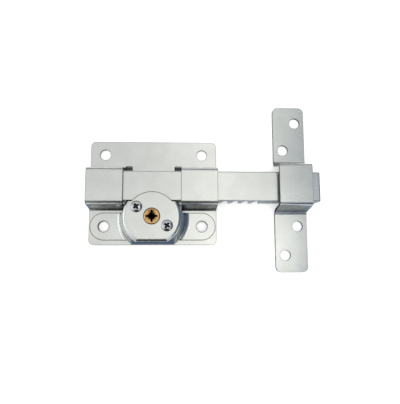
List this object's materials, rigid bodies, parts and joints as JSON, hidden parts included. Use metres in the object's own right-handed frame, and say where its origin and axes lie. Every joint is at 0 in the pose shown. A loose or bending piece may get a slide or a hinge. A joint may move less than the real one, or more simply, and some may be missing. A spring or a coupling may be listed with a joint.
{
  "type": "gate bolt",
  "caption": "Key-turned rack bolt for a gate: folded back plate with two straps, channel bolt, cross-key cylinder under a drawn cover, and a separate bent keeper.",
  "frame": {"origin": "centre of the four gate holes, on the back plate's back face", "axes": "+X the way the bolt is thrown, +Y up the gate, +Z out of the plate towards the user"},
  "size_m": [0.1708, 0.1275, 0.022],
  "materials": {
    "plate_steel": "satin zinc on folded sheet",
    "keeper_steel": "satin zinc on bent strip",
    "bolt_steel": "satin zinc on folded channel",
    "cover_steel": "satin zinc on drawn sheet",
    "housing_zinc": "as-cast zinc alloy",
    "fastener_chrome": "bright plated",
    "pinion_steel": "machined steel",
    "lock_brass": "turned brass",
    "spring_steel": "drawn wire"
  },
  "bodies": {
    "lock_frame": {"back_plate": "plate_steel", "keeper": "keeper_steel", "lock_cover": "cover_steel", "cylinder_housing": "housing_zinc", "cover_screw_upper": "fastener_chrome", "cover_screw_lower": "fastener_chrome", "driver_pin_1": "lock_brass", "pin_spring_1": "spring_steel", "driver_pin_2": "lock_brass", "pin_spring_2": "spring_steel", "driver_pin_3": "lock_brass", "pin_spring_3": "spring_steel", "driver_pin_4": "lock_brass", "pin_spring_4": "spring_steel"},
    "sliding_bolt": {"bolt_bar": "bolt_steel"},
    "key_plug": {"cylinder_plug": "lock_brass", "pinion": "pinion_steel", "pinion_clip": "spring_steel", "key_pin_1": "lock_brass", "key_pin_2": "lock_brass", "key_pin_3": "lock_brass", "key_pin_4": "lock_brass"}
  },
  "joints": [
    {"name": "bolt_slide", "type": "slide", "parent": "lock_frame", "child": "sliding_bolt", "axis": [1, 0, 0], "range_m": [-0.076, 0]},
    {"name": "plug_turn", "type": "hinge", "parent": "lock_frame", "child": "key_plug", "pos_m": [0, -0.0209, 0.012], "axis": [0, 0, 1], "range_deg": [-0.5, 360.5]}
  ],
  "couplings": [
    {"joint": "plug_turn", "follows": "bolt_slide", "rad_per_m": -82.673}
  ]
}
